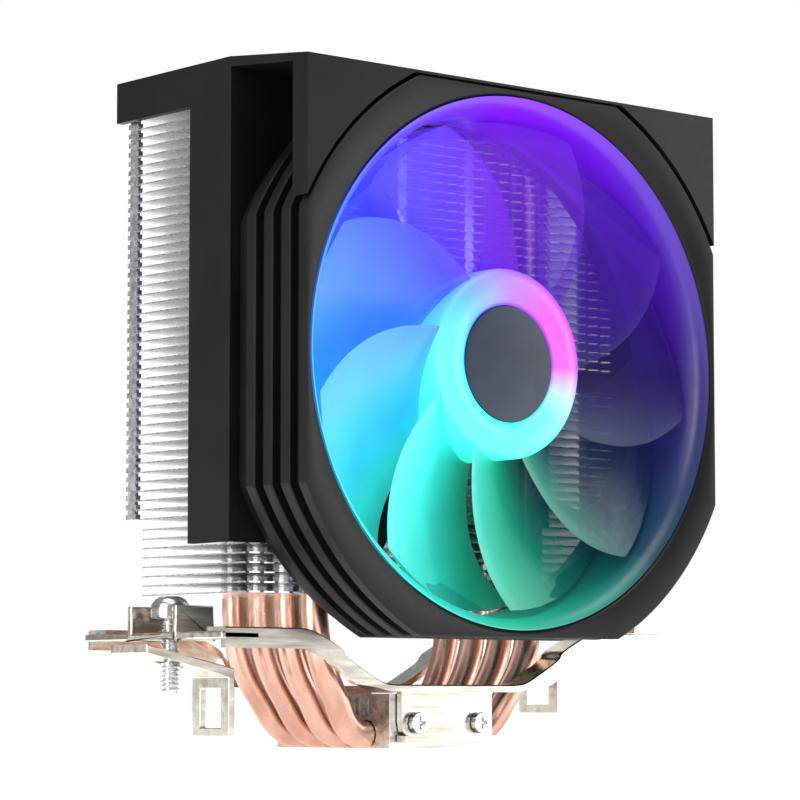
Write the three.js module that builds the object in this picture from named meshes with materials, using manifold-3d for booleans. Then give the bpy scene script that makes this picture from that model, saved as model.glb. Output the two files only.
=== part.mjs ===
// CPU tower cooler with a 120 mm lighted fan, four direct-contact heat pipes and a screw-tensioned clip.
// Millimetres, +Z up. The origin is the centre of the cold plate's contact face; the fan faces -Y.
import * as THREE from "three";
import { mergeVertices } from "three/addons/utils/BufferGeometryUtils.js";
import Module from "manifold-3d";

const wasm = await Module();
wasm.setup();

// Fan
const FAN_HALF = 60;
const FAN_AXIS_Z = 84;
const FAN_FRONT_Y = -47;
const FAN_DEPTH = 26;
const OUTLINE_RADIUS = 66.6;
const RIB_PITCH = 5.9;
const RIB_WIDTH = 3;
const RIB_COUNT = 4;
const GROOVE_DEPTH = 2.2;
const MOUTH_RADIUS = 59.2;
const LIP_RADIUS = 57.3;
const LIP_DEPTH = 3;
const THROAT_RADIUS = 55.5;
const LIGHT_DEPTH = 12;
const HUB_RADIUS = 21;
const HUB_FRONT = 3;
const HUB_BACK = 20.6;
const BLADE_TIP_RADIUS = 54;
const BLADE_COUNT = 9;
const STRUT_COUNT = 3;
const MOTOR_BASE_DEPTH = 22.4;

// Fin stack and housing
const FIN_COUNT = 54;
const FIN_PITCH = 2.08;
const FIN_THICKNESS = 0.5;
const FIN_LOW_Z = 33.5;
const FIN_HALF_WIDTH = 57.5;
const FIN_FRONT_Y = -18.5;
const FIN_BACK_Y = 21.3;
const HOUSING_TOP_Z = 148;
const HOUSING_BACK_Y = 21.5;
const HOUSING_WALL = 1.8;
const BAND_HEIGHT = 9;
const PILLAR_BACK_Y = -6;
const PILLAR_LOW_Z = 44;
const BULKHEAD_FRONT_Y = -20.7;
const BULKHEAD_BACK_Y = -18.9;
const CORNER_THICKNESS = 5;
const CORNER_TOP_Z = 144.9;
const SEAM = 1;
const GAP = 0.3;

// Heat pipes and base
const PIPE_RADIUS = 3;
const PIPE_LEG_X = 31.5;
const PIPE_LEG_PITCH = 9.4;
const PIPE_BASE_PITCH = 8;
const PIPE_TOP_Z = 145.5;
const BASE_HALF_X = 15;
const BASE_HALF_Y = 20;
const BASE_HEIGHT = 12;

// Clip
const SHEET = 1.6;
const STRAP_NEAR_Y = 18.4;
const STRAP_FAR_Y = 25;
const STRAP_Z = 12.4;
const WING_Z = 24.3;
const WING_HALF = 64;
const FLANGE = 2.8;
const CAGE_LOW_Z = 23.4;
const YOKE_Z = WING_Z + SHEET + GAP;
const YOKE_X = 60;
const HOOK_X = 47.5;
const HOOK_HALF_WIDTH = 6.6;
const SLOT_HALF_WIDTH = 3.75;
const SCREW_X = 9.1;
const SCREW_Z = 5.6;
const SCREW_END_Y = 16.2;

// A three.js geometry as a solid that can be joined and cut.
function solid(geometry) {
  const plain = geometry.clone();
  plain.deleteAttribute("normal");
  plain.deleteAttribute("uv");
  const merged = mergeVertices(plain, 1e-4);
  return new wasm.Manifold(
    new wasm.Mesh({
      numProp: 3,
      vertProperties: merged.attributes.position.array,
      triVerts: new Uint32Array(merged.index.array),
    }),
  );
}

// A solid as a three.js geometry.
function geometryOf(body) {
  const mesh = body.getMesh();
  const geometry = new THREE.BufferGeometry();
  geometry.setAttribute("position", new THREE.BufferAttribute(mesh.vertProperties, 3));
  geometry.setIndex(new THREE.BufferAttribute(mesh.triVerts, 1));
  geometry.computeVertexNormals();
  return geometry;
}

function join(...bodies) {
  return bodies.reduce((all, body) => all.add(body));
}

function cut(body, ...tools) {
  return tools.reduce((rest, tool) => rest.subtract(tool), body);
}

// A box from its limits on the three axes.
function box([x0, x1], [y0, y1], [z0, z1]) {
  const geometry = new THREE.BoxGeometry(x1 - x0, y1 - y0, z1 - z0);
  geometry.translate((x0 + x1) / 2, (y0 + y1) / 2, (z0 + z1) / 2);
  return solid(geometry);
}

// A shape drawn in X and Z, thickened from y0 to y1.
function slabY(shape, y0, y1, segments = 6) {
  const geometry = new THREE.ExtrudeGeometry(shape, {
    depth: y1 - y0,
    bevelEnabled: false,
    curveSegments: segments,
  });
  geometry.rotateX(Math.PI / 2);
  geometry.translate(0, y1, 0);
  return solid(geometry);
}

function polygon(points) {
  return new THREE.Shape(points.map(([x, y]) => new THREE.Vector2(x, y)));
}

// A body turned about the fan's axis: points are [radius, depth behind the fan's front face].
function turned(points, segments = 36) {
  const profile = points.map(([radius, depth]) => new THREE.Vector2(radius, depth));
  profile.push(profile[0].clone());
  const geometry = new THREE.LatheGeometry(profile, segments);
  const body = solid(geometry);
  if (body.volume() > 0) return body;
  const reversed = new THREE.LatheGeometry(profile.reverse(), segments);
  return solid(reversed);
}

function ring(inner, outer, front, back, segments = 24) {
  return turned([[inner, front], [outer, front], [outer, back], [inner, back]], segments);
}

function disc(radius, front, back, segments = 36) {
  const geometry = new THREE.CylinderGeometry(radius, radius, back - front, segments);
  geometry.translate(0, (front + back) / 2, 0);
  return solid(geometry);
}

// An upright cylinder.
function post(radius, z0, z1, x = 0, y = 0, segments = 12) {
  const geometry = new THREE.CylinderGeometry(radius, radius, z1 - z0, segments);
  geometry.rotateX(Math.PI / 2);
  geometry.translate(x, y, (z0 + z1) / 2);
  return solid(geometry);
}

// The fan's outline: a circle cut flat on four sides, shrunk by inset.
function fanOutline(inset) {
  const radius = OUTLINE_RADIUS - inset;
  const flat = FAN_HALF - inset;
  const start = Math.acos(flat / radius);
  const shape = new THREE.Shape();
  for (let side = 0; side < 4; side++) {
    const turn = (side * Math.PI) / 2;
    shape.absarc(0, 0, radius, turn + start, turn + Math.PI / 2 - start, false);
  }
  shape.closePath();
  return shape;
}

function fanFrame() {
  let body = slabY(fanOutline(GROOVE_DEPTH), 0, FAN_DEPTH);
  for (let rib = 0; rib < RIB_COUNT; rib++) {
    const front = rib * RIB_PITCH;
    body = body.add(slabY(fanOutline(0), front, front + RIB_WIDTH));
  }
  const mouth = turned([
    [0, -1],
    [MOUTH_RADIUS + 0.1, -1],
    [MOUTH_RADIUS, 0],
    [LIP_RADIUS, LIP_DEPTH],
    [THROAT_RADIUS + 1.5, LIGHT_DEPTH + GAP],
    [THROAT_RADIUS + 1.5, LIGHT_DEPTH + 2],
    [THROAT_RADIUS, LIGHT_DEPTH + 2],
    [THROAT_RADIUS, FAN_DEPTH + 1],
    [0, FAN_DEPTH + 1],
  ]);
  body = cut(body, mouth);
  const back = [MOTOR_BASE_DEPTH, FAN_DEPTH];
  let spider = disc(HUB_RADIUS, ...back);
  for (let strut = 0; strut < STRUT_COUNT; strut++) {
    const geometry = new THREE.BoxGeometry(THROAT_RADIUS - HUB_RADIUS + 6, back[1] - back[0], 4.6);
    geometry.translate((THROAT_RADIUS + HUB_RADIUS - 1) / 2, (back[0] + back[1]) / 2, 0);
    geometry.rotateY((strut * 2 * Math.PI) / STRUT_COUNT);
    spider = spider.add(solid(geometry));
  }
  const tube = disc(4.6, HUB_FRONT + 5, MOTOR_BASE_DEPTH + 1, 24);
  const bore = disc(3.1, HUB_FRONT + 4, FAN_DEPTH - 1.5, 24);
  return cut(join(body, spider, tube), bore);
}

// One blade: flat sections between the hub and the tip, flatter and wider towards the tip.
function blade(index) {
  const sections = 5;
  const positions = [];
  const faces = [];
  for (let i = 0; i < sections; i++) {
    const share = i / (sections - 1);
    const radius = HUB_RADIUS - 0.6 + share * (BLADE_TIP_RADIUS - HUB_RADIUS + 0.6);
    const pitch = THREE.MathUtils.degToRad(38 - 16 * share);
    const chord = 24 + 22 * share;
    const sweep = (index / BLADE_COUNT) * 2 * Math.PI + 0.32 * share * share;
    const along = new THREE.Vector2(Math.cos(pitch), Math.sin(pitch)).multiplyScalar(chord / 2);
    const across = new THREE.Vector2(-Math.sin(pitch), Math.cos(pitch)).multiplyScalar(0.8);
    for (const [a, b] of [[-1, -1], [1, -1], [1, 1], [-1, 1]]) {
      const side = a * along.x + b * across.x;
      const depth = 12.8 + a * along.y + b * across.y;
      const angle = sweep + side / radius;
      positions.push(radius * Math.cos(angle), depth, radius * Math.sin(angle));
    }
  }
  for (let i = 0; i < sections - 1; i++) {
    for (let k = 0; k < 4; k++) {
      const a = i * 4 + k;
      const b = i * 4 + ((k + 1) % 4);
      faces.push(a, b, b + 4, a, b + 4, a + 4);
    }
  }
  const last = (sections - 1) * 4;
  faces.push(0, 2, 1, 0, 3, 2, last, last + 1, last + 2, last, last + 2, last + 3);
  const geometry = new THREE.BufferGeometry();
  geometry.setAttribute("position", new THREE.BufferAttribute(new Float32Array(positions), 3));
  geometry.setIndex(faces);
  const body = solid(geometry);
  if (body.volume() > 0) return body;
  faces.reverse();
  geometry.setIndex(faces);
  return solid(geometry);
}

function fanRotor() {
  const cup = turned([
    [13.4, HUB_FRONT + 1.6],
    [HUB_RADIUS - 0.4, HUB_FRONT + 2.8],
    [HUB_RADIUS, HUB_FRONT + 3.2],
    [HUB_RADIUS, HUB_BACK],
    [HUB_RADIUS - 1.4, HUB_BACK],
    [HUB_RADIUS - 1.4, HUB_FRONT + 4],
    [2.1, HUB_FRONT + 4],
    [2.1, HUB_FRONT + 2.6],
    [13.4, HUB_FRONT + 2.6],
  ]);
  let body = cup;
  for (let i = 0; i < BLADE_COUNT; i++) {
    const root = disc(HUB_RADIUS - 0.7, 0, FAN_DEPTH);
    const nose = disc(HUB_RADIUS + 0.2, 0, HUB_FRONT + 3);
    body = body.add(cut(blade(i), root, nose));
  }
  return body;
}

function hubLightRing() {
  return turned([
    [13.6, HUB_FRONT + 1.2],
    [14.2, HUB_FRONT + 0.4],
    [17, HUB_FRONT],
    [19.4, HUB_FRONT + 0.5],
    [20.8, HUB_FRONT + 2.2],
    [13.6, HUB_FRONT + 1.3],
  ]);
}

// The top cover: cap over the fins, side pillars, plate behind the fan and corner pieces round it.
function housing() {
  const half = FAN_HALF;
  const wall = HOUSING_WALL;
  const sides = [[-half, wall - half], [half - wall, half]];
  const cap = box([-half, half], [BULKHEAD_FRONT_Y, HOUSING_BACK_Y], [HOUSING_TOP_Z - wall, HOUSING_TOP_Z]);
  const bands = sides.map((x) =>
    box(x, [BULKHEAD_FRONT_Y, HOUSING_BACK_Y], [HOUSING_TOP_Z - BAND_HEIGHT, HOUSING_TOP_Z]),
  );
  const pillars = sides.map((x) => box(x, [BULKHEAD_FRONT_Y, PILLAR_BACK_Y], [PILLAR_LOW_Z, HOUSING_TOP_Z]));
  const plate = cut(
    box([-half, half], [BULKHEAD_FRONT_Y, BULKHEAD_BACK_Y], [PILLAR_LOW_Z, HOUSING_TOP_Z]),
    aboutFanAxis(disc(THROAT_RADIUS + 1.5, FAN_DEPTH, FAN_DEPTH + 4)),
  );
  const wedge = new THREE.ExtrudeGeometry(
    polygon([
      [FAN_FRONT_Y, CORNER_TOP_Z - 1.7],
      [BULKHEAD_FRONT_Y + 0.5, HOUSING_TOP_Z - 2.2],
      [BULKHEAD_FRONT_Y + 0.5, HOUSING_TOP_Z],
      [FAN_FRONT_Y, CORNER_TOP_Z],
    ]),
    { depth: 2 * half, bevelEnabled: false },
  );
  wedge.rotateX(Math.PI / 2);
  wedge.rotateZ(Math.PI / 2);
  wedge.translate(-half, 0, 0);
  const corners = box(
    [-half, half],
    [FAN_FRONT_Y, FAN_FRONT_Y + CORNER_THICKNESS],
    [FAN_AXIS_Z, CORNER_TOP_Z - 0.05],
  );
  const room = aboutFanAxis(disc(OUTLINE_RADIUS + SEAM, -1, CORNER_THICKNESS + 1, 64));
  const belowTop = box([-half - 1, half + 1], [FAN_FRONT_Y - 2, BULKHEAD_FRONT_Y], [0, FAN_AXIS_Z + half + GAP]);
  const body = join(cap, ...bands, ...pillars, plate);
  const hood = cut(join(solid(wedge), corners), room.intersect(belowTop));
  const envelope = aboutFanAxis(slabY(fanOutline(-GAP), -1, FAN_DEPTH + GAP));
  return cut(join(body, hood), envelope);
}

// Moves a body modelled about the fan's own axis to the fan's place.
function aboutFanAxis(body) {
  const geometry = geometryOf(body);
  geometry.translate(0, FAN_FRONT_Y, FAN_AXIS_Z);
  return solid(geometry);
}

// Horizontal fins joined by the collars on each side of the two rows of pipe legs.
function finStack() {
  const height = (FIN_COUNT - 1) * FIN_PITCH + FIN_THICKNESS;
  const slot = PIPE_RADIUS + GAP;
  const collar = 0.5;
  const outline = polygon([
    [-FIN_HALF_WIDTH, 0],
    [FIN_HALF_WIDTH, 0],
    [FIN_HALF_WIDTH, height],
    [-FIN_HALF_WIDTH, height],
  ]);
  let body = slabY(outline, FIN_FRONT_Y, FIN_BACK_Y);
  const inner = PIPE_LEG_X - slot - collar;
  const outer = PIPE_LEG_X + slot + collar;
  for (let i = 0; i < FIN_COUNT - 1; i++) {
    const z = [i * FIN_PITCH + FIN_THICKNESS, (i + 1) * FIN_PITCH];
    const y = [FIN_FRONT_Y - 1, FIN_BACK_Y + 1];
    body = cut(
      body,
      box([-inner, inner], y, z),
      box([-FIN_HALF_WIDTH - 1, -outer], y, z),
      box([outer, FIN_HALF_WIDTH + 1], y, z),
    );
  }
  const reach = 1.5 * PIPE_LEG_PITCH + slot;
  for (const x of [-PIPE_LEG_X, PIPE_LEG_X]) {
    body = cut(body, box([x - slot, x + slot], [-reach, reach], [-1, height + 1]));
  }
  const geometry = geometryOf(body);
  geometry.translate(0, 0, FIN_LOW_Z);
  return solid(geometry);
}

// One U-shaped pipe: flat through the base, then fanned out and up to a vertical leg on each side.
function heatPipe(index) {
  const baseY = (index - 1.5) * PIPE_BASE_PITCH;
  const legY = (index - 1.5) * PIPE_LEG_PITCH;
  const half = [
    [0, baseY, PIPE_RADIUS],
    [BASE_HALF_X - 1, baseY, PIPE_RADIUS],
    [BASE_HALF_X + 4, baseY, PIPE_RADIUS + 0.7],
    [PIPE_LEG_X - 6.5, baseY * 0.4 + legY * 0.6, 11],
    [PIPE_LEG_X - 1.6, legY, 20],
    [PIPE_LEG_X, legY, 29],
    [PIPE_LEG_X, legY, 38],
    [PIPE_LEG_X, legY, PIPE_TOP_Z],
  ];
  const right = half.map(([x, y, z]) => new THREE.Vector3(x, y, z));
  const left = half.slice(1).map(([x, y, z]) => new THREE.Vector3(-x, y, z));
  const bend = [...left.slice(0, -1).reverse(), ...right.slice(0, -1)];
  const curve = new THREE.CatmullRomCurve3(bend, false, "centripetal");
  const points = [left.at(-1), ...curve.getSpacedPoints(22), right.at(-1)];
  return sweep(points, PIPE_RADIUS, 8);
}

// A round rod along points that lie close to one upright plane.
function sweep(points, radius, sides) {
  const positions = [];
  const faces = [];
  points.forEach((point, i) => {
    const before = points[Math.max(0, i - 1)];
    const after = points[Math.min(points.length - 1, i + 1)];
    const tangent = after.clone().sub(before).normalize();
    const across = new THREE.Vector3(0, 1, 0).addScaledVector(tangent, -tangent.y).normalize();
    const up = new THREE.Vector3().crossVectors(tangent, across);
    for (let k = 0; k < sides; k++) {
      const angle = ((k + 0.5) / sides) * 2 * Math.PI;
      const rim = point.clone();
      rim.addScaledVector(across, radius * Math.cos(angle));
      rim.addScaledVector(up, radius * Math.sin(angle));
      positions.push(rim.x, rim.y, rim.z);
    }
  });
  for (let i = 0; i < points.length - 1; i++) {
    for (let k = 0; k < sides; k++) {
      const a = i * sides + k;
      const b = i * sides + ((k + 1) % sides);
      faces.push(a, b + sides, b, a, a + sides, b + sides);
    }
  }
  const last = (points.length - 1) * sides;
  for (let k = 1; k < sides - 1; k++) {
    faces.push(0, k, k + 1);
    faces.push(last, last + k + 1, last + k);
  }
  const geometry = new THREE.BufferGeometry();
  geometry.setAttribute("position", new THREE.BufferAttribute(new Float32Array(positions), 3));
  geometry.setIndex(faces);
  const body = solid(geometry);
  if (body.volume() > 0) return body;
  faces.reverse();
  geometry.setIndex(faces);
  return solid(geometry);
}

function baseBlock() {
  let body = box([-BASE_HALF_X, BASE_HALF_X], [-BASE_HALF_Y, BASE_HALF_Y], [0, BASE_HEIGHT]);
  for (let i = 0; i < 4; i++) {
    const y = (i - 1.5) * PIPE_BASE_PITCH;
    const half = PIPE_RADIUS + GAP;
    const groove = new THREE.CylinderGeometry(half, half, 2 * BASE_HALF_X + 2, 12);
    groove.rotateZ(Math.PI / 2);
    groove.translate(0, y, PIPE_RADIUS);
    body = body.subtract(solid(groove));
    body = body.subtract(box([-BASE_HALF_X - 1, BASE_HALF_X + 1], [y - 1.4, y + 1.4], [-1, 1]));
  }
  for (const side of [-1, 1]) {
    for (let i = 0; i < 3; i++) {
      const y = -12 + i * 3;
      const x = [side * BASE_HALF_X - 1.2, side * BASE_HALF_X + 1.2];
      body = body.subtract(box(x, [y - 0.8, y + 0.8], [7.4, 11.2]));
    }
    for (const x of [-SCREW_X, SCREW_X]) {
      const ends = [side * (SCREW_END_Y - GAP), side * (BASE_HALF_Y + 1)].sort((a, b) => a - b);
      body = body.subtract(alongY(x, SCREW_Z, 1.7, ...ends));
    }
  }
  return body;
}

// A round rod along Y.
function alongY(x, z, radius, y0, y1, segments = 12) {
  const geometry = new THREE.CylinderGeometry(radius, radius, y1 - y0, segments);
  geometry.translate(x, (y0 + y1) / 2, z);
  return solid(geometry);
}

// A bracket: an apron screwed to the base and a strap whose wings rise to the clip's ends.
function bracket() {
  const top = [
    [-WING_HALF, WING_Z],
    [-38, WING_Z],
    [-33, WING_Z - 3.6],
    [-29, WING_Z - 3.6],
    [-20, STRAP_Z],
  ];
  const lower = [...top, ...top.map(([x, z]) => [-x, z]).reverse()];
  const upper = lower.map(([x, z]) => [x, z + SHEET]).reverse();
  const strap = slabY(polygon([...lower, ...upper]), -STRAP_FAR_Y, -STRAP_NEAR_Y);
  const flange = [
    [-WING_HALF, WING_Z - FLANGE],
    [-38, WING_Z - FLANGE],
    [-33, WING_Z - 3.6 - FLANGE],
    [-29, WING_Z - 3.6 - FLANGE],
    [-22, STRAP_Z + 1],
    [-22, STRAP_Z + 2.4],
    [-29, WING_Z - 3],
    [-33, WING_Z - 3],
    [-38, WING_Z + 0.6],
    [-WING_HALF, WING_Z + 0.6],
  ];
  const flangeY = [-STRAP_FAR_Y, SHEET - STRAP_FAR_Y];
  const leftFlange = slabY(polygon(flange), ...flangeY);
  const rightFlange = slabY(polygon(flange.map(([x, z]) => [-x, z]).reverse()), ...flangeY);
  const apronY = [-BASE_HALF_Y - GAP - SHEET, -BASE_HALF_Y - GAP];
  const apron = box([-13.2, 13.2], apronY, [2.4, STRAP_Z + 0.5]);
  const foot = box([-13.2, 13.2], [apronY[0] - 1.2, apronY[1]], [1.4, 2.8]);
  const holes = [-SCREW_X, SCREW_X].map((x) => alongY(x, SCREW_Z, 1.7, -24, -19));
  return cut(join(strap, leftFlange, rightFlange, apron, foot), ...holes);
}

function bracketScrew(x) {
  const face = -BASE_HALF_Y - 2 * GAP - SHEET;
  const shank = alongY(x, SCREW_Z, 1.3, face - 0.5, -SCREW_END_Y);
  const head = alongY(x, SCREW_Z, 2.4, face - 1.4, face);
  const cross = join(
    box([x - 1.3, x + 1.3], [face - 2, face - 0.8], [SCREW_Z - 0.3, SCREW_Z + 0.3]),
    box([x - 0.3, x + 0.3], [face - 2, face - 0.8], [SCREW_Z - 1.3, SCREW_Z + 1.3]),
  );
  return cut(join(shank, head), cross);
}

// The bar that joins the two brackets' ends; the left one carries the tension screw.
function yoke(side) {
  const x = [side * YOKE_X - 5, side * YOKE_X + 5];
  const bar = box(x, [-STRAP_FAR_Y, STRAP_FAR_Y], [YOKE_Z, YOKE_Z + SHEET]);
  const lips = [-1, 1].map((end) => {
    const y = end * (HOOK_HALF_WIDTH + 2.2);
    return box(x, [y - 0.8, y + 0.8], [YOKE_Z + 0.5, YOKE_Z + 4.5]);
  });
  const cage = [-1, 1].map((end) => {
    const y = end * (HOOK_HALF_WIDTH + 2.2);
    return box(x, [y - 0.8, y + 0.8], [CAGE_LOW_Z, YOKE_Z + 1]);
  });
  const sill = box(x, [-HOOK_HALF_WIDTH - 2, HOOK_HALF_WIDTH + 2], [CAGE_LOW_Z, CAGE_LOW_Z + 1.3]);
  const hole = post(2.7, CAGE_LOW_Z - 1, YOKE_Z + 3, side * YOKE_X, 0);
  const pieces = side < 0 ? [bar, ...lips, ...cage, sill] : [bar, ...lips];
  return cut(join(...pieces), hole);
}

function tensionScrew() {
  const x = -YOKE_X;
  const underHead = YOKE_Z + SHEET + GAP;
  const profile = [[0, 0], [4.3, 0], [4.3, 2.6], [3.7, 4], [2.4, 4.8], [0, 5]];
  const points = profile.map(([r, z]) => new THREE.Vector2(r, z));
  const geometry = new THREE.LatheGeometry(points, 16);
  geometry.rotateX(Math.PI / 2);
  geometry.translate(x, 0, underHead);
  const head = solid(geometry);
  const shank = post(2.1, 12, underHead + 0.5, x, 0);
  const drive = join(
    box([x - 2.6, x + 2.6], [-0.5, 0.5], [underHead + 3, underHead + 6]),
    box([x - 0.5, x + 0.5], [-2.6, 2.6], [underHead + 3, underHead + 6]),
  );
  return cut(join(head, shank), drive);
}

// A hook: a sloped plate under the yoke and a slotted leg that catches the socket's lug.
function hook(side, drop) {
  const far = side < 0 ? 71 : 64;
  const shape = polygon(
    [
      [HOOK_X, 2.7 + drop],
      [HOOK_X + SHEET, 2.7 + drop],
      [HOOK_X + SHEET, 15.6 + drop / 2],
      [far, 20.6 + drop / 4],
      [far, 22.4 + drop / 4],
      [HOOK_X, 17.4 + drop / 2],
    ].map(([x, z]) => [side * x, z]),
  );
  const body = slabY(shape, -HOOK_HALF_WIDTH, HOOK_HALF_WIDTH);
  const slot = box(
    side < 0 ? [-HOOK_X - 3, -HOOK_X + 1] : [HOOK_X - 1, HOOK_X + 3],
    [-SLOT_HALF_WIDTH, SLOT_HALF_WIDTH],
    [4.6 + drop, 13 + drop],
  );
  return cut(body, slot, post(3.4, 10, 30, side * YOKE_X, 0));
}

const cooler = new THREE.Group();
const fan = new THREE.Group();
fan.position.set(0, FAN_FRONT_Y, FAN_AXIS_Z);
cooler.add(fan);

const FINISHES = {
  black: [0x161618, 0.45, 0],
  glowing: [0x8fd8ff, 0.3, 0],
  dark: [0x202226, 0.4, 0],
  steel: [0xb8babd, 0.3, 1],
  magnet: [0x2b2b2e, 0.6, 0.2],
  bronze: [0xa97a45, 0.4, 1],
  copper: [0xb8734f, 0.3, 1],
  board: [0x1c5a3a, 0.6, 0],
  aluminium: [0xd4d6d8, 0.35, 1],
  nickel: [0xc9c3b6, 0.25, 1],
};

function place(name, body, finish, parent = cooler) {
  const [color, roughness, metalness] = FINISHES[finish];
  const material = new THREE.MeshStandardMaterial({ color, roughness, metalness });
  const mesh = new THREE.Mesh(geometryOf(body), material);
  mesh.name = name;
  parent.add(mesh);
  return mesh;
}

place("fan_frame", fanFrame(), "black", fan);
place(
  "light_diffuser_ring",
  turned([
    [MOUTH_RADIUS - 1.2, 0.4],
    [MOUTH_RADIUS - 2 * GAP, 0.4],
    [LIP_RADIUS - GAP, LIP_DEPTH],
    [THROAT_RADIUS + 1.2, LIGHT_DEPTH],
    [THROAT_RADIUS + 0.2, LIGHT_DEPTH],
    [LIP_RADIUS - 1.2, LIP_DEPTH],
  ]),
  "glowing",
  fan,
);
place(
  "light_board_ring",
  ring(THROAT_RADIUS + 0.2, THROAT_RADIUS + 1.1, LIGHT_DEPTH + GAP, LIGHT_DEPTH + 1.6),
  "board",
  fan,
);
place("fan_rotor", fanRotor(), "glowing", fan);
place("hub_light_ring", hubLightRing(), "glowing", fan);
place("hub_disc", disc(13, HUB_FRONT + 0.9, HUB_FRONT + 2.3), "dark", fan);
place("rotor_yoke", ring(17.6, 19.2, HUB_FRONT + 4.5, HUB_BACK - 0.4, 36), "steel", fan);
place("magnet_ring", ring(15.6, 17.3, HUB_FRONT + 5, HUB_BACK - 1, 36), "magnet", fan);
place("stator_core", ring(4.9, 9, HUB_FRONT + 7, HUB_BACK - 3, 24), "steel", fan);
place("stator_winding", ring(9.3, 14.8, HUB_FRONT + 6.6, HUB_BACK - 2.6, 24), "copper", fan);
place("fan_circuit_board", ring(5, 17.5, MOTOR_BASE_DEPTH - 1.9, MOTOR_BASE_DEPTH - 0.4, 36), "board", fan);
place("rotor_shaft", disc(1.5, HUB_FRONT + 2.7, FAN_DEPTH - 2.6, 20), "steel", fan);
place("sleeve_bearing", ring(1.7, 2.8, HUB_FRONT + 5.2, FAN_DEPTH - 4.6, 20), "bronze", fan);

place("cover_housing", housing(), "black");
place("fin_stack", finStack(), "aluminium");
for (let i = 0; i < 4; i++) {
  place(`heat_pipe_${i + 1}`, heatPipe(i), "copper");
}
place("base_block", baseBlock(), "aluminium");

const rear = new THREE.Group();
rear.rotation.z = Math.PI;
cooler.add(rear);
place("front_bracket", bracket(), "nickel");
place("rear_bracket", bracket(), "nickel", rear);
place("bracket_screw_1", bracketScrew(-SCREW_X), "steel");
place("bracket_screw_2", bracketScrew(SCREW_X), "steel");
place("bracket_screw_3", bracketScrew(-SCREW_X), "steel", rear);
place("bracket_screw_4", bracketScrew(SCREW_X), "steel", rear);
place("left_yoke", yoke(-1), "nickel");
place("right_yoke", yoke(1), "nickel");
place("tension_screw", tensionScrew(), "steel");
place("left_hook", hook(-1, 0), "nickel");
place("right_hook", hook(1, 5), "nickel");

export default cooler;
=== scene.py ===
"""The looks of a CPU tower cooler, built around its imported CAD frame. Metres, +Z up, the fan faces -Y."""

import math

import bmesh
import bpy
from mathutils import Matrix, Vector


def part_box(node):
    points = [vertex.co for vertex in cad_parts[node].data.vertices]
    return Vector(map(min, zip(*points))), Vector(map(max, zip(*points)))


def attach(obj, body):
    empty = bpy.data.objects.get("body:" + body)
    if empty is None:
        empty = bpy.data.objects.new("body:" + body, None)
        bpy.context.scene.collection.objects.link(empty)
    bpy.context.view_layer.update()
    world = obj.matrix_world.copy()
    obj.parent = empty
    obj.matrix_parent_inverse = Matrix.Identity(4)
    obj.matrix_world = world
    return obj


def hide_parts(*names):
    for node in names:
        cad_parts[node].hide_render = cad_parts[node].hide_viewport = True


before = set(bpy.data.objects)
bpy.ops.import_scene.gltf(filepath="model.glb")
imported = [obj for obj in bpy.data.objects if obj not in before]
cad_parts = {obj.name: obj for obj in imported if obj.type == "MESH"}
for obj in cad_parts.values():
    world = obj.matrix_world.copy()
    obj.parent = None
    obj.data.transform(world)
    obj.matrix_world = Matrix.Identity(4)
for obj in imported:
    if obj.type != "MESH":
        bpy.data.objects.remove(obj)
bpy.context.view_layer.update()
MM = 0.001
TAU = 2 * math.pi
SUNK = 1 * MM  # how far a joined part runs into its neighbour
SLIVER = 0.01 * MM  # keeps the faces of joined parts out of one plane
NEAR_AXIS = 0.01 * MM  # where a turned profile that fills its middle ends

# Fan. Depths are measured back from its front face.
FRAME_LOW, FRAME_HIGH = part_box("fan_frame")
FAN_AXIS_Z = (FRAME_LOW.z + FRAME_HIGH.z) / 2
FAN_FRONT_Y = FRAME_LOW.y
FAN_HALF = FRAME_HIGH.x
FAN_DEPTH = FRAME_HIGH.y - FRAME_LOW.y
OUTLINE_RADIUS = 66.6 * MM
FRAME_EDGE = 0.3 * MM
RIB_COUNT = 4
RIB_PITCH = 5.9 * MM
RIB_WIDTH = 3 * MM
GROOVE_DEPTH = 2.2 * MM
MOUTH_RADIUS = 59.3 * MM
LIP_RADIUS = 57.3 * MM
LIP_DEPTH = 3 * MM
THROAT_RADIUS = 55.5 * MM
POCKET_FRONT = 12.3 * MM
POCKET_BACK = 14 * MM
MOTOR_BASE_DEPTH = 22.4 * MM
BEARING_BORE_RADIUS = 3.1 * MM
BEARING_TUBE_RADIUS = 4.6 * MM
BEARING_TUBE_FRONT = 8 * MM
BEARING_LID_RADIUS = 3.2 * MM
BEARING_LID_THICKNESS = 1.5 * MM
STRUT_COUNT = 3
STRUT_HALF_WIDTH = 2.3 * MM
HUB_RADIUS = 21 * MM

# Blades. A pair is the value at the hub, and how much it changes on the way to the tip.
BLADE_COUNT = 9
BLADE_TIP_RADIUS = 54 * MM
BLADE_DEPTH = 12.8 * MM
BLADE_PITCH = (30, -12)  # degrees
BLADE_CHORD = (32 * MM, 24 * MM)
BLADE_SWEEP = 0.32  # radians at the tip
BLADE_HALF_THICKNESS = 0.6 * MM
BLADE_CAMBER = 1.2 * MM

# Fins. The lowest ones are narrower and carry no tabs.
FIN_LOW, FIN_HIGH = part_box("fin_stack")
FIN_COUNT = 54
FIN_THICKNESS = 0.32 * MM
CAD_FIN_THICKNESS = 0.5 * MM
BARE_FINS = 8
FULL_TRIM = 1.2 * MM
BARE_TRIM = 4.5 * MM
TOOTH_PITCH = 4 * MM
TOOTH_DEPTH = 1.1 * MM
ROUND_STEPS = 20

# Heat pipes
PIPE_COUNT = 4
PIPE_RADIUS = 3 * MM
PIPE_LEG_X = 31.5 * MM
PIPE_LEG_PITCH = 9.4 * MM
PIPE_BASE_PITCH = 8 * MM
PIPE_TOP_Z = 144.4 * MM

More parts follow.
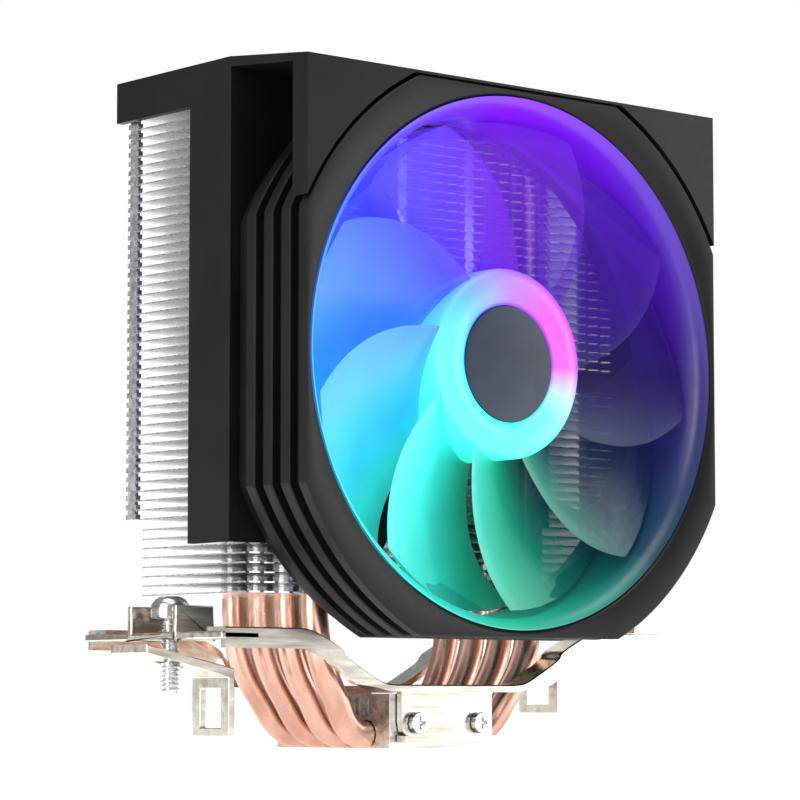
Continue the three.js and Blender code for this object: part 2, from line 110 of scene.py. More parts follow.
# Tension screw
SCREW_HEAD_HEIGHT = 5 * MM
THREAD_PITCH = 1.0 * MM
THREAD_CORE_RADIUS = 1.55 * MM
THREAD_HEIGHT = 0.55 * MM
SCREW_STEPS = 40

# Clip's straps and aprons, in millimetres
STRAP_SHEET = 1.6
STRAP_FRONT_Y = -25
STRAP_BACK_Y = -18.4
STRAP_EDGE = 0.3
FLANGE_HEIGHT = 2.8
FLANGE_START_Z = 15
FLANGE_FADE = 3
APRON_HALF = 13.2

# Cage round the tension screw
CAGE_SHEET = 1.5 * MM
CAGE_REACH = 8.9 * MM
CAGE_LOW_Z = 23.4 * MM
CAGE_SILL = 1.3 * MM

# Camera
CAMERA_PLACE = (-0.4777, -0.571, 0.0092)
CAMERA_YAW = math.radians(40.2)
CAMERA_PITCH = math.radians(5.36)
CAMERA_LENS = 147
CAMERA_SENSOR = 36


def srgb(text):
    """A linear colour from its hexadecimal web form."""
    parts = [int(text[i : i + 2], 16) / 255 for i in (0, 2, 4)]
    return [c / 12.92 if c <= 0.04045 else ((c + 0.055) / 1.055) ** 2.4 for c in parts] + [1]


def grey(level):
    return [level, level, level, 1]


# ---------------------------------------------------------------- materials


class Nodes:
    """A material and short ways to add nodes to it."""

    def __init__(self, name):
        self.material = bpy.data.materials.new(name)
        self.material.use_nodes = True
        self.tree = self.material.node_tree
        self.shader = self.tree.nodes["Principled BSDF"]

    def add(self, kind, **values):
        node = self.tree.nodes.new(kind)
        for key, value in values.items():
            setattr(node, key, value)
        return node

    def link(self, source, target):
        self.tree.links.new(source, target)

    def math(self, operation, a, b=None):
        node = self.add("ShaderNodeMath", operation=operation)
        for socket, value in zip(node.inputs, (a, b)):
            if value is None:
                continue
            if isinstance(value, (int, float)):
                socket.default_value = value
            else:
                self.link(value, socket)
        return node.outputs[0]

    def place(self):
        return self.add("ShaderNodeTexCoord").outputs["Object"]

    def noise(self, scale, detail=3, stretch=None):
        source = self.place()
        if stretch:
            mapping = self.add("ShaderNodeMapping")
            mapping.inputs["Scale"].default_value = stretch
            self.link(source, mapping.inputs["Vector"])
            source = mapping.outputs["Vector"]
        node = self.add("ShaderNodeTexNoise")
        node.inputs["Scale"].default_value = scale
        node.inputs["Detail"].default_value = detail
        self.link(source, node.inputs["Vector"])
        return node.outputs["Fac"]

    def spread(self, source, low, high, target):
        """A noise's middle range, mapped to low..high, drives a shader socket."""
        node = self.add("ShaderNodeMapRange")
        node.inputs["From Min"].default_value = 0.3
        node.inputs["From Max"].default_value = 0.7
        node.inputs["To Min"].default_value = low
        node.inputs["To Max"].default_value = high
        self.link(source, node.inputs["Value"])
        self.link(node.outputs["Result"], self.shader.inputs[target])

    def ramp(self, source, stops):
        node = self.add("ShaderNodeValToRGB")
        elements = node.color_ramp.elements
        while len(elements) < len(stops):
            elements.new(0.5)
        for element, (position, colour) in zip(elements, stops):
            element.position = position
            element.color = colour
        self.link(source, node.inputs["Fac"])
        return node.outputs["Color"]

    def blend_colours(self, source, dark, light):
        """A noise's middle range runs from dark to light in the base colour."""
        self.link(self.ramp(source, [(0.3, dark), (0.7, light)]), self.shader.inputs["Base Color"])

    def bump(self, source, distance, strength):
        node = self.add("ShaderNodeBump")
        node.inputs["Distance"].default_value = distance
        node.inputs["Strength"].default_value = strength
        self.link(source, node.inputs["Height"])
        self.link(node.outputs["Normal"], self.shader.inputs["Normal"])


def moulded_plastic(name, dark, light, rough=(0.38, 0.46)):
    """Dyed plastic with a fine eroded grain."""
    m = Nodes(name)
    grain = m.noise(1800, 4)
    m.blend_colours(m.noise(60), dark, light)
    m.spread(m.noise(700), *rough, "Roughness")
    m.shader.inputs["Specular IOR Level"].default_value = 0.2
    m.bump(grain, distance=0.00003, strength=0.3)
    return m.material


def metal(name, dark, light, rough, stretch=(1, 1, 1), scale=300, bump=0.00001):
    """Metal whose drawn or rolled streaks run along the axis with the smallest stretch."""
    m = Nodes(name)
    streaks = m.noise(scale, 5, stretch)
    m.blend_colours(streaks, dark, light)
    m.shader.inputs["Metallic"].default_value = 1
    m.spread(streaks, *rough, "Roughness")
    m.bump(m.noise(scale * 2, 3, stretch), distance=bump, strength=0.5)
    return m.material


# Light colours round the fan, anticlockwise from +X as seen from the fan's front.
RIM_COLOURS = ["1c0b54", "400a98", "6a00cc", "3c3fe6", "3f93ff", "37cbc6", "1d9478", "09303e"]
HUB_COLOURS = ["b24cff", "b040ff", "8a5cff", "4f90ff", "4fc6ff", "44d8ee", "40ffd0", "5ae8c8"]
# How solid the blades look at the same angles.
SOLID = [0.3, 0.24, 0.22, 0.5, 0.84, 0.93, 0.93, 0.62]


def closed_stops(colours):
    """Ramp stops that come back to the first colour at the end."""
    count = len(colours)
    return [(i / count, colours[i % count]) for i in range(count + 1)]


def lit_plastic(name, colours, glow, solid=None):
    """Frosted plastic lit from behind, with colours set by the angle about the fan's axis. Its glow is a
    lamp's on the rim and hub, and painted light on the blades.
    """
    m = Nodes(name)
    split = m.add("ShaderNodeSeparateXYZ")
    m.link(m.place(), split.inputs[0])
    up = m.math("SUBTRACT", split.outputs["Z"], FAN_AXIS_Z)
    angle = m.math("ARCTAN2", up, split.outputs["X"])
    turn = m.math("FRACT", m.math("ADD", m.math("DIVIDE", angle, TAU), 1.0))
    colour = m.ramp(turn, closed_stops([srgb(text) for text in colours]))
    m.link(colour, m.shader.inputs["Base Color"])
    m.link(colour, m.shader.inputs["Emission Color"])
    m.spread(m.noise(90, 2), glow * 0.85, glow * 1.15, "Emission Strength")
    m.spread(m.noise(700), 0.3, 0.42, "Roughness")
    m.bump(m.noise(1500), distance=0.00002, strength=0.3)
    if solid:
        m.link(m.ramp(turn, closed_stops([grey(level) for level in solid])), m.shader.inputs["Alpha"])
    return m.material


BLACK = moulded_plastic("black plastic", [0.003, 0.003, 0.0035, 1], [0.006, 0.006, 0.007, 1])
DARK = moulded_plastic("hub disc plastic", srgb("2c3340"), srgb("39424f"), (0.3, 0.42))
ALUMINIUM = metal("fin sheet", srgb("c9ccd0"), srgb("f2f3f4"), (0.22, 0.36), (1, 14, 14), 60)
MACHINED = metal("machined block", srgb("c4c4c2"), srgb("e2e1de"), (0.24, 0.34), (1, 12, 12), 60, 0.000001)
COPPER = metal("copper tube", srgb("c99684"), srgb("e2bba9"), (0.2, 0.32), (3, 3, 1), 60, 0.000003)
NICKEL = metal("nickel plate", srgb("cfc8ba"), srgb("eee9de"), (0.14, 0.26), (1, 8, 8), 70)
STEEL = metal("turned steel", srgb("b9bbbd"), srgb("e4e5e6"), (0.15, 0.3), (2, 2, 20), 120)
BRONZE = metal("bearing bronze", srgb("8c6337"), srgb("b3854f"), (0.35, 0.5))
MAGNET = metal("sintered magnet", srgb("2a2a2c"), srgb("454548"), (0.5, 0.7))
BOARD = moulded_plastic("circuit board", srgb("12402c"), srgb("1d6243"), (0.3, 0.45))
RIM_LIGHT = lit_plastic("lit rim", RIM_COLOURS, 0.5)
# The blades hold no lamp: their glow is painted light, the rim lamps' colour at each angle painted in as
# emission.
BLADE_PAINTED_GLOW = lit_plastic("lit blades", RIM_COLOURS, 0.5, SOLID)
HUB_LIGHT = lit_plastic("lit hub", HUB_COLOURS, 0.75)

# ---------------------------------------------------------------- mesh helpers


def add_object(name, data):
    obj = bpy.data.objects.new(name, data)
    bpy.context.scene.collection.objects.link(obj)
    return obj


def make(name, vertices, faces, material, smooth=True):
    mesh = bpy.data.meshes.new(name)
    mesh.from_pydata([tuple(v) for v in vertices], [], faces)
    mesh.validate()
    body = bmesh.new()
    body.from_mesh(mesh)
    bmesh.ops.remove_doubles(body, verts=body.verts, dist=1e-7)
    bmesh.ops.recalc_face_normals(body, faces=body.faces)
    body.to_mesh(mesh)
    body.free()
    if smooth:
        mesh.shade_smooth()
        mesh.set_sharp_from_angle(angle=math.radians(38))
    mesh.materials.append(material)
    return add_object(name, mesh)


def finish_piece(obj, body, slot, *nodes):
    """Rides a new piece on its body and hides the CAD nodes it stands for."""
    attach(obj, body)
    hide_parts(*nodes)


def in_metres(points):
    return [tuple(value * MM for value in point) for point in points]


def rings_to_faces(count, sides, closed):
    """Quads between successive rings of points; closed also joins the last ring to the first."""
    faces = []
    for i in range(count if closed else count - 1):
        for k in range(sides):
            a, b = i * sides + k, i * sides + (k + 1) % sides
            c, d = ((i + 1) % count) * sides + (k + 1) % sides, ((i + 1) % count) * sides + k
            faces.append((a, b, c, d))
    return faces


def about_fan_axis(radius, angle, depth):
    return Vector((radius * math.cos(angle), FAN_FRONT_Y + depth, FAN_AXIS_Z + radius * math.sin(angle)))


def turned(profile, steps=120):
    """Rings of a closed profile of (radius, depth) points turned about the fan's axis."""
    points = [
        about_fan_axis(radius, TAU * i / steps, depth)
        for i in range(steps)
        for radius, depth in profile
    ]
    return points, rings_to_faces(steps, len(profile), True)


def turned_upright(profile, centre, steps):
    """Rings of a closed profile of (radius, height) points turned about an upright axis."""
    points = []
    for i in range(steps):
        angle = TAU * i / steps
        for radius, height in profile:
            points.append(centre + Vector((radius * math.cos(angle), radius * math.sin(angle), height)))
    return points, rings_to_faces(steps, len(profile), True)


def merged(*parts):
    """Several (vertices, faces) pairs as one."""
    vertices, faces = [], []
    for part_vertices, part_faces in parts:
        start = len(vertices)
        vertices += part_vertices
        faces += [tuple(start + i for i in face) for face in part_faces]
    return vertices, faces


def block(low, high, turn=None):
    """A box between two corners, turned by a matrix."""
    xs, ys, zs = zip(low, high)
    corners = [Vector((x, y, z)) for x in xs for y in ys for z in zs]
    if turn:
        corners = [turn @ corner for corner in corners]
    faces = [(0, 1, 3, 2), (4, 6, 7, 5), (0, 4, 5, 1), (2, 3, 7, 6), (0, 2, 6, 4), (1, 5, 7, 3)]
    return corners, faces


def surface_of(curve):
    """A curve's surface as (vertices, faces)."""
    holder = add_object("curve holder", curve)
    bpy.context.view_layer.update()
    evaluated = holder.evaluated_get(bpy.context.evaluated_depsgraph_get())
    mesh = bpy.data.meshes.new_from_object(evaluated)
    vertices = [v.co.copy() for v in mesh.vertices]
    faces = [tuple(p.vertices) for p in mesh.polygons]
    bpy.data.objects.remove(holder)
    return vertices, faces


# ---------------------------------------------------------------- fan


def outline_radius(angle, inset):
    """The frame's outline, a circle cut by four flats, at an angle."""
    flat = (FAN_HALF - inset) / max(abs(math.cos(angle)), abs(math.sin(angle)))
    return min(OUTLINE_RADIUS - inset, flat)


def frame_profile():
    """(kind, value, depth) round the frame's section: outer points are insets, inner ones radii."""
    edge, groove = FRAME_EDGE, GROOVE_DEPTH
    points = []
    for rib in range(RIB_COUNT):
        front = rib * RIB_PITCH
        back = front + RIB_WIDTH
        next_rib = min(front + RIB_PITCH, FAN_DEPTH)
        points += [("out", edge, front), ("out", 0, front + edge), ("out", 0, back - edge)]
        points += [("out", edge, back), ("out", groove, back), ("out", groove, next_rib)]
    points += [("out", groove + edge, FAN_DEPTH)]
    points += [("in", THROAT_RADIUS, FAN_DEPTH), ("in", THROAT_RADIUS, POCKET_BACK)]
    points += [("in", THROAT_RADIUS + 1.4 * MM, POCKET_BACK), ("in", THROAT_RADIUS + 1.5 * MM, POCKET_FRONT)]
    points += [("in", LIP_RADIUS, LIP_DEPTH), ("in", MOUTH_RADIUS - 0.2 * MM, 0.15 * MM)]
    points += [("in", MOUTH_RADIUS, 0)]
    return points


def frame_shell():
    """The ribbed outer wall, with extra steps where the round outline meets its flats."""
    steps = 240
    corner = math.acos(FAN_HALF / OUTLINE_RADIUS)
    angles = sorted(
        [TAU * i / steps for i in range(steps)]
        + [q * TAU / 4 + s * corner for q in range(4) for s in (-1, 1)],
        key=lambda a: a % TAU,
    )
    profile = frame_profile()
    vertices = []
    for angle in angles:
        for kind, value, depth in profile:
            radius = outline_radius(angle, value) if kind == "out" else value
            vertices.append(about_fan_axis(radius, angle, depth))
    return vertices, rings_to_faces(len(angles), len(profile), True)


def washer(inner, outer, front, back, steps=120):
    return turned([(inner, front), (outer, front), (outer, back), (inner, back)], steps)


def build_frame():
    """The fan's fixed frame: shell, motor base with its bearing tube and lid, and struts."""
    base = washer(BEARING_BORE_RADIUS, HUB_RADIUS, MOTOR_BASE_DEPTH, FAN_DEPTH)
    tube = washer(BEARING_BORE_RADIUS, BEARING_TUBE_RADIUS, BEARING_TUBE_FRONT, MOTOR_BASE_DEPTH, 40)
    lid_front = FAN_DEPTH - BEARING_LID_THICKNESS
    lid_radius = BEARING_LID_RADIUS
    lid = turned([(NEAR_AXIS, lid_front), (lid_radius, lid_front), (lid_radius, FAN_DEPTH)], 40)
    struts = []
    for i in range(STRUT_COUNT):
        spin = Matrix.Rotation(-TAU * i / STRUT_COUNT, 4, "Y")
        turn = Matrix.Translation((0, FAN_FRONT_Y, FAN_AXIS_Z)) @ spin
        low = (HUB_RADIUS - SUNK, MOTOR_BASE_DEPTH + SLIVER, -STRUT_HALF_WIDTH)
        high = (THROAT_RADIUS + SUNK, FAN_DEPTH - SLIVER, STRUT_HALF_WIDTH)
        struts.append(block(low, high, turn))
    obj = make("fan_frame_shell", *merged(frame_shell(), base, tube, lid, *struts), BLACK)
    finish_piece(obj, "cooler", "black_plastic", "fan_frame")


def build_diffuser():
    """The lit ring inside the frame's mouth, and its thin sleeve along the throat."""
    profile = [(58.0, 0.5), (58.4, 0.4), (57.0, 3), (56.5, 12), (55.45, 12.2), (55.45, 21.8)]
    profile += [(54.9, 21.8), (54.9, 12), (56.0, 3)]
    obj = make("light_diffuser", *turned(in_metres(profile), 200), RIM_LIGHT)
    finish_piece(obj, "cooler", "lit_plastic", "light_diffuser_ring")


def blade_point(index, share, turn):
    """A point on a blade: share runs from the hub to the tip, and turn goes round the section."""
    root = HUB_RADIUS - SUNK
    radius = root + share * (BLADE_TIP_RADIUS - root)
    pitch = math.radians(BLADE_PITCH[0] + BLADE_PITCH[1] * share)
    chord = BLADE_CHORD[0] + BLADE_CHORD[1] * share
    middle = TAU * index / BLADE_COUNT + BLADE_SWEEP * share**2
    along = 0.5 * chord * math.cos(turn)
    thick = BLADE_HALF_THICKNESS * math.sin(turn) * (1 - 0.35 * math.cos(turn))
    camber = BLADE_CAMBER * (1 - math.cos(turn) ** 2)
    side = along * math.cos(pitch) - (thick + camber) * math.sin(pitch)
    depth = BLADE_DEPTH + along * math.sin(pitch) + (thick - camber) * math.cos(pitch)
    return about_fan_axis(radius, middle + side / radius, depth)


def build_blades():
    """Wide swept blades with rounded edges, twisted from hub to tip."""
    radial, around = 22, 20
    faces = rings_to_faces(radial, around, False)
    faces.append(tuple(reversed(range(around))))
    faces.append(tuple(range((radial - 1) * around, radial * around)))
    blades = []
    for index in range(BLADE_COUNT):
        points = [
            blade_point(index, i / (radial - 1), TAU * k / around)
            for i in range(radial)
            for k in range(around)
        ]
        blades.append((points, faces))
    obj = make("fan_blades", *merged(*blades), BLADE_PAINTED_GLOW)
    finish_piece(obj, "rotor", "lit_plastic", "fan_rotor")


def build_hub():
    """The glowing hub: a rounded ring in front of a straight skirt."""
    middle, half_width, rim_depth, crown, steps = 17, 4, 5.2, 2.2, 8
    profile = [(12.6, 5.6), (13.2, 4.2)]
    for i in range(steps + 1):
        angle = math.pi * (1 - i / steps)
        profile.append((middle + half_width * math.cos(angle), rim_depth - crown * math.sin(angle)))
    profile += [(21, 7), (21, 20.4), (19.7, 20.4), (19.7, 7.2), (12.6, 7)]
    obj = make("hub_light", *turned(in_metres(profile)), HUB_LIGHT)
    finish_piece(obj, "rotor", "lit_plastic", "hub_light_ring")


def build_hub_disc():
    """The dark disc in the middle of the hub, slightly dished, with a rounded edge."""
    profile = [(0.01, 4.1), (11.6, 4.0), (12.6, 4.2), (12.95, 4.7), (12.95, 5.3), (0.01, 5.3)]
    obj = make("hub_cap", *turned(in_metres(profile), 96), DARK)
    finish_piece(obj, "rotor", "dark_plastic", "hub_disc")


# ---------------------------------------------------------------- fins and pipes


def fin_outline(trim):
    """Corner points of one fin: straight sides, saw-toothed front and back edges."""
    tooth, depth = TOOTH_PITCH, TOOTH_DEPTH
    half = FIN_HIGH.x - trim
    front, back = FIN_LOW.y, FIN_HIGH.y
    count = int(2 * half / tooth)
    start = -count * tooth / 2
    points = [(-half, front + depth)]
    for i in range(count):
        points += [(start + i * tooth, front + depth), (start + (i + 0.5) * tooth, front)]
    points += [(start + count * tooth, front + depth), (half, front + depth), (half, back - depth)]
    for i in range(count):
        points += [(-start - i * tooth, back - depth), (-start - (i + 0.5) * tooth, back)]
    points += [(start, back - depth), (-half, back - depth)]
    return points


def pipe_offset(index):
    """A pipe's place in its row of four, in pitches from the middle."""
    return index - (PIPE_COUNT - 1) / 2


def leg_places():
    return [
        (side * PIPE_LEG_X, pipe_offset(i) * PIPE_LEG_PITCH)
        for side in (-1, 1)
        for i in range(PIPE_COUNT)
    ]


def hole_outline(x, y):
    """The round hole in a fin for a pipe's leg."""
    radius = PIPE_RADIUS + 0.12 * MM
    angles = [TAU * k / ROUND_STEPS for k in range(ROUND_STEPS)]
    return [(x + radius * math.cos(angle), y + radius * math.sin(angle)) for angle in angles]


def fin_mesh(trim):
    """One fin as (vertices, faces), cut by a filled flat curve with a round hole for each leg."""
    curve = bpy.data.curves.new("fin curve", "CURVE")
    curve.dimensions = "2D"
    curve.fill_mode = "BOTH"
    curve.extrude = FIN_THICKNESS / 2
    for outline in [fin_outline(trim)] + [hole_outline(x, y) for x, y in leg_places()]:
        clean = [p for i, p in enumerate(outline) if math.dist(p, outline[i - 1]) > 1e-6]
        spline = curve.splines.new("POLY")
        spline.points.add(len(clean) - 1)
        for point, (x, y) in zip(spline.points, clean):
            point.co = (x, y, 0, 1)
        spline.use_cyclic_u = True
    return surface_of(curve)


def collar(x, y, z):
    """The short flanged sleeve that the fin presses round a pipe's leg."""
    section = [(3.15, 0), (3.9, 0), (3.45, 0.35), (3.3, 1.85), (3.15, 1.85)]
    return turned_upright(in_metres(section), Vector((x, y, z)), ROUND_STEPS)


def tab_columns():
    """(x, y, half width, half depth) of each column of folded tabs."""
    side_x = FIN_HIGH.x - 0.7 * MM
    columns = [(s * side_x, y * MM, 0.6 * MM, 1.9 * MM) for s in (-1, 1) for y in (18.6, -6.5)]
    for y in (FIN_LOW.y + 0.55 * MM, FIN_HIGH.y - 0.55 * MM):
        columns += [(x * MM, y, 1.4 * MM, 0.35 * MM) for x in (-33, -10, 10, 33)]
    return columns


def tab(x, y, z, half_x, half_y, pitch):
    """A folded tab: a wide foot on its fin and a narrower end that reaches the fin above."""
    narrow_x, narrow_y = 0.72 * half_x, 0.72 * half_y
    foot = block((x - half_x, y - half_y, z), (x + half_x, y + half_y, z + 0.55 * pitch))
    low = (x - narrow_x, y - narrow_y, z + 0.5 * pitch)
    high = (x + narrow_x, y + narrow_y, z + 0.98 * pitch)
    return [foot, block(low, high)]


def build_fins():
    """The fins, the collars on the bare ones and the first full one, and the tabs."""
    pitch = (FIN_HIGH.z - FIN_LOW.z - CAD_FIN_THICKNESS) / (FIN_COUNT - 1)
    full, bare = fin_mesh(FULL_TRIM), fin_mesh(BARE_TRIM)
    fins, collars, tabs = [], [], []
    for i in range(FIN_COUNT):
        z = FIN_LOW.z + FIN_THICKNESS / 2 + i * pitch
        vertices, faces = bare if i < BARE_FINS else full
        fins.append(([v + Vector((0, 0, z)) for v in vertices], faces))
        if i <= BARE_FINS:
            collars += [collar(x, y, z) for x, y in leg_places()]
        if BARE_FINS <= i < FIN_COUNT - 1:
            for x, y, half_x, half_y in tab_columns():
                tabs += tab(x, y, z, half_x, half_y, pitch)
    obj = make("fins", *merged(*fins, *collars, *tabs), ALUMINIUM, smooth=False)
    finish_piece(obj, "cooler", "fin_aluminium", "fin_stack")


def pipe_points(index):
    """Half of a pipe's centre line, from the base's middle to the leg's top."""
    base_y = pipe_offset(index) * PIPE_BASE_PITCH
    leg_y = pipe_offset(index) * PIPE_LEG_PITCH
    return [
        Vector((0, base_y, PIPE_RADIUS)),
        Vector((14 * MM, base_y, PIPE_RADIUS)),
        Vector((19 * MM, base_y, PIPE_RADIUS + 0.7 * MM)),
        Vector((25 * MM, 0.4 * base_y + 0.6 * leg_y, 11 * MM)),
        Vector((PIPE_LEG_X - 1.6 * MM, leg_y, 20 * MM)),
        Vector((PIPE_LEG_X, leg_y, 29 * MM)),
        Vector((PIPE_LEG_X, leg_y, 38 * MM)),
        Vector((PIPE_LEG_X, leg_y, PIPE_TOP_Z)),
    ]


def build_pipe(index):
    """A round tube along its centre line, milled level with the cold plate underneath."""
    half = pipe_points(index)
    points = [Vector((-p.x, p.y, p.z)) for p in reversed(half[1:])] + half
    curve = bpy.data.curves.new("pipe curve", "CURVE")
    curve.dimensions = "3D"
    curve.resolution_u = 10
    spline = curve.splines.new("BEZIER")
    spline.bezier_points.add(len(points) - 1)
    for point, place in zip(spline.bezier_points, points):
        point.co = place
        point.handle_left_type = point.handle_right_type = "AUTO"
    curve.bevel_depth = PIPE_RADIUS * 0.99
    curve.bevel_resolution = 8
    curve.use_fill_caps = True
    vertices, faces = surface_of(curve)
    milled = [Vector((v.x, v.y, max(v.z, 0))) for v in vertices]
    obj = make(f"copper_pipe_{index + 1}", milled, faces, COPPER)
    finish_piece(obj, "cooler", "copper", f"heat_pipe_{index + 1}")


# ---------------------------------------------------------------- clip


def thread(centre, bottom, top):
    """A shank with a cut thread that fades out towards its lower end."""
    rows, fade_length = 150, 1.2 * MM
    points = []
    for j in range(rows + 1):
        height = (top - bottom) * j / rows
        fade = min(1, height / fade_length)
        for i in range(SCREW_STEPS):
            phase = height / THREAD_PITCH - i / SCREW_STEPS
            wave = abs((phase % 1) * 2 - 1)
            radius = THREAD_CORE_RADIUS + THREAD_HEIGHT * wave * fade
            angle = TAU * i / SCREW_STEPS
            place = Vector((radius * math.cos(angle), radius * math.sin(angle), bottom + height))
            points.append(centre + place)
    faces = rings_to_faces(rows + 1, SCREW_STEPS, False)
    faces += [tuple(range(SCREW_STEPS)), tuple(range(rows * SCREW_STEPS, (rows + 1) * SCREW_STEPS))]
    return points, faces


def cross_quarters(centre, floor):
    """Four blocks in the head's round recess, which leave a cross between them."""
    quarters = []
    for k in range(4):
        spin = Matrix.Rotation(TAU * (k + 0.5) / 4, 4, "Z")
        turn = Matrix.Translation((centre.x, centre.y, 0)) @ spin
        low = (0.75 * MM, -0.55 * MM, floor)
        high = (2.05 * MM, 0.55 * MM, floor + 1.6 * MM)
        quarters.append(block(low, high, turn))
    return quarters


def build_tension_screw():
    """A domed cross-head screw with a cut thread."""
    low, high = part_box("tension_screw")
    centre = Vector(((low.x + high.x) / 2, (low.y + high.y) / 2, 0))
    under_head = high.z - SCREW_HEAD_HEIGHT
    dome = [(0.02, 0), (4.0, 0), (4.25, 0.25), (4.25, 2.4), (4.0, 3.2), (3.3, 4.1), (2.3, 4.7)]
    recess = [(2.0, 4.8), (1.9, 3.2), (0.02, 3.0)]
    head = turned_upright(in_metres(dome + recess), centre + Vector((0, 0, under_head)), SCREW_STEPS)
    quarters = cross_quarters(centre, under_head + 3.0 * MM)
    parts = [thread(centre, low.z, under_head), head, *quarters]
    obj = make("clip_screw", *merged(*parts), STEEL)
    finish_piece(obj, "screw", "steel", "tension_screw")


def rounded(points):
    """A path in millimetres with its corners cut, and cut again, into round bends."""
    longest_cut = 1.6
    for _ in range(2):
        path = [points[0]]
        for a, b in zip(points, points[1:]):
            cut = min(0.25, longest_cut / math.dist(a, b))
            path.append(tuple(p + (q - p) * cut for p, q in zip(a, b)))
            path.append(tuple(q + (p - q) * cut for p, q in zip(a, b)))
        points = path + [points[-1]]
    return points


def strap_section(flange):
    """(y, z) round the strap in millimetres, from its top; flange is its front edge's turned-down part."""
    inner_y = STRAP_FRONT_Y + STRAP_SHEET
    foot = -STRAP_SHEET - flange
    return [
        (STRAP_FRONT_Y, -STRAP_EDGE),
        (STRAP_FRONT_Y + STRAP_EDGE, 0),
        (STRAP_BACK_Y, 0),
        (STRAP_BACK_Y, -STRAP_SHEET),
        (inner_y, -STRAP_SHEET),
        (inner_y, foot),
        (STRAP_FRONT_Y, foot),
    ]


def strap():
    """The strap's sheet, whose flange fades out where the strap dips towards the base."""
    path = [(-64, 25.9), (-41, 25.9), (-32, 21.6), (-31.4, 19.9), (-20.4, 14.0)]
    line = rounded(path + [(-x, z) for x, z in reversed(path)])
    points = []
    for x, z in line:
        share = min(1, max(0, (z - FLANGE_START_Z) / FLANGE_FADE))
        section = strap_section(FLANGE_HEIGHT * share)
        points += [Vector((x, y, z + low)) * MM for y, low in section]
    sides = len(section)
    faces = rings_to_faces(len(line), sides, False)
    faces += [tuple(range(sides)), tuple(range(len(points) - sides, len(points)))]
    return points, faces


def apron():
    """The plate that the two screws hold to the base, with rounded lower corners."""
    half, top, bottom = APRON_HALF, 13.2, 2.6
    outline = rounded([(-half, top), (-half, bottom), (half, bottom), (half, top)])
    points = [Vector((x, y, z)) * MM for y in (-21.9, -20.3) for x, z in outline]
    count = len(outline)
    faces = [tuple(range(count)), tuple(range(2 * count - 1, count - 1, -1))]
    faces += [(i, (i + 1) % count, count + (i + 1) % count, count + i) for i in range(count)]
    return points, faces


def build_bracket(end, node):
    """The strap, a flat sheet with a downturned front edge, above the apron screwed to the base."""
    foot = block(*in_metres([(-APRON_HALF, -23.1, 1.4), (APRON_HALF, -20.31, 2.8)]))
    obj = make(f"{end}_clip_strap", *merged(strap(), apron(), foot), NICKEL)
    if end == "rear":
        obj.data.transform(Matrix.Rotation(math.pi, 4, "Z"))
    finish_piece(obj, "cooler", "nickel_steel", node)


def build_cage():
    """The left yoke: a bar at the cage's foot, and walls and a sill round the tension screw."""
    low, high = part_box("left_yoke")
    middle = (low.x + high.x) / 2
    top = low.z + CAGE_SHEET
    hole_y, hole_x, sill_x = 3 * MM, 2.7 * MM, 2.6 * MM
    parts = [
        block((low.x, low.y, low.z), (high.x, -hole_y, top)),
        block((low.x, hole_y, low.z), (high.x, high.y, top)),
        block((low.x, -hole_y, low.z + SLIVER), (middle - hole_x, hole_y, top)),
        block((middle + hole_x, -hole_y, low.z + SLIVER), (high.x, hole_y, top)),
    ]
    for end in (-1, 1):
        near_y, far_y = sorted((end * CAGE_REACH, end * (CAGE_REACH - CAGE_SHEET)))
        parts.append(block((low.x, near_y, CAGE_LOW_Z), (high.x, far_y, high.z)))
    for near_x, far_x in ((low.x, middle - sill_x), (middle + sill_x, high.x)):
        sill_top = CAGE_LOW_Z + CAGE_SILL
        parts.append(block((near_x, -CAGE_REACH, CAGE_LOW_Z), (far_x, CAGE_REACH, sill_top)))
    obj = make("screw_cage", *merged(*parts), NICKEL)
    bevel = obj.modifiers.new("bevel", "BEVEL")
    bevel.width = 0.3 * MM
    bevel.segments = 2
    finish_piece(obj, "cooler", "nickel_steel", "left_yoke")


# ---------------------------------------------------------------- carried-over CAD nodes

# Each node's material, and how many millimetres its edges are rounded by.
CARRIED = {
    "cover_housing": (BLACK, 0.35),
    "base_block": (MACHINED, 0.15),
    "right_yoke": (NICKEL, 0.3),
    "left_hook": (NICKEL, 0.3),
    "right_hook": (NICKEL, 0.3),
    "light_board_ring": (BOARD, 0),
    "fan_circuit_board": (BOARD, 0),
    "rotor_yoke": (STEEL, 0),
    "magnet_ring": (MAGNET, 0),
    "stator_core": (STEEL, 0),
    "stator_winding": (COPPER, 0),
    "rotor_shaft": (STEEL, 0),
    "sleeve_bearing": (BRONZE, 0),
    "bracket_screw_1": (STEEL, 0.12),
    "bracket_screw_2": (STEEL, 0.12),
    "bracket_screw_3": (STEEL, 0.12),
    "bracket_screw_4": (STEEL, 0.12),
}


def soften(name, material, width):
    """Gives a CAD node its finish and rounds its edges."""
    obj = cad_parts[name]
    obj.data.materials.clear()
    obj.data.materials.append(material)
    weld = obj.modifiers.new("weld", "WELD")
    weld.merge_threshold = 1e-6
    if width:
        bevel = obj.modifiers.new("bevel", "BEVEL")
        bevel.width = width * MM
        bevel.segments = 2
        bevel.limit_method = "ANGLE"
        bevel.angle_limit = math.radians(35)
        bevel.use_clamp_overlap = True


# ---------------------------------------------------------------- stage


def build_stage():
    """A pale floor, lit a little from within so that it fades into the backdrop."""
    side = 6
    mesh = bpy.data.meshes.new("floor")
    corners = [(-side, -side, 0), (side, -side, 0), (side, side, 0), (-side, side, 0)]
    mesh.from_pydata(corners, [], [(0, 1, 2, 3)])
    m = Nodes("pale floor")
    m.blend_colours(m.noise(2), grey(0.86), grey(0.88))
    m.shader.inputs["Roughness"].default_value = 0.35
    m.shader.inputs["Emission Color"].default_value = (1, 1, 1, 1)
    m.shader.inputs["Emission Strength"].default_value = 0.74
    mesh.materials.append(m.material)
    floor = add_object("floor", mesh)


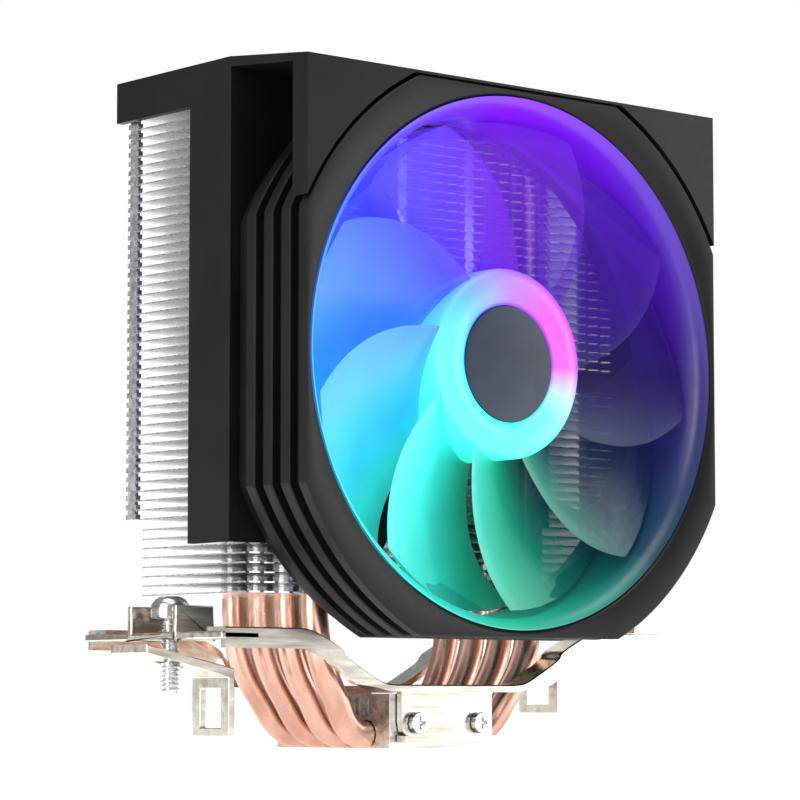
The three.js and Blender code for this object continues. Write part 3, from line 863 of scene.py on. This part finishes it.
# Each light's place, width, height and power; all face the cooler's middle.
LIGHTS = {
    "left softbox": ((-0.9, -0.15, 0.35), 0.6, 0.9, 9),
    "top softbox": ((0, -0.1, 1.0), 0.9, 0.9, 9),
    "right softbox": ((0.8, -0.6, 0.3), 0.4, 0.8, 4),
    "front fill": ((-0.4, -1.2, 0.15), 0.5, 0.5, 1.5),
}
LIGHT_TARGET = (0, 0, 0.08)


def area_light(name, place, width, height, power):
    light = bpy.data.lights.new(name, "AREA")
    light.shape = "RECTANGLE"
    light.size = width
    light.size_y = height
    light.energy = power
    obj = add_object(name, light)
    obj.location = place
    direction = Vector(LIGHT_TARGET) - Vector(place)
    obj.rotation_euler = direction.to_track_quat("-Z", "Y").to_euler()


def build_world():
    """A white world that the camera sees at full strength and that lights the cooler dimly."""
    world = bpy.data.worlds.new("studio")
    world.use_nodes = True
    tree = world.node_tree
    background = tree.nodes["Background"]
    background.inputs["Color"].default_value = (1, 1, 1, 1)
    path = tree.nodes.new("ShaderNodeLightPath")
    strength = tree.nodes.new("ShaderNodeMapRange")
    strength.inputs["To Min"].default_value = 0.32
    strength.inputs["To Max"].default_value = 1.0
    tree.links.new(path.outputs["Is Camera Ray"], strength.inputs["Value"])
    tree.links.new(strength.outputs["Result"], background.inputs["Strength"])
    bpy.context.scene.world = world


def build_camera():
    camera = bpy.data.cameras.new("camera")
    camera.lens = CAMERA_LENS
    camera.sensor_width = CAMERA_SENSOR
    camera.clip_start = 0.05
    obj = add_object("camera", camera)
    obj.location = CAMERA_PLACE
    obj.rotation_euler = (math.pi / 2 + CAMERA_PITCH, 0, -CAMERA_YAW)
    bpy.context.scene.camera = obj


build_camera()
build_frame()
build_diffuser()
build_blades()
build_hub()
build_hub_disc()
build_fins()
for pipe in range(PIPE_COUNT):
    build_pipe(pipe)
build_tension_screw()
build_bracket("front", "front_bracket")
build_bracket("rear", "rear_bracket")
build_cage()
for node, (finish, edge) in CARRIED.items():
    soften(node, finish, edge)
build_stage()
for light, settings in LIGHTS.items():
    area_light(light, *settings)
build_world()
bpy.context.scene.view_settings.view_transform = "Standard"
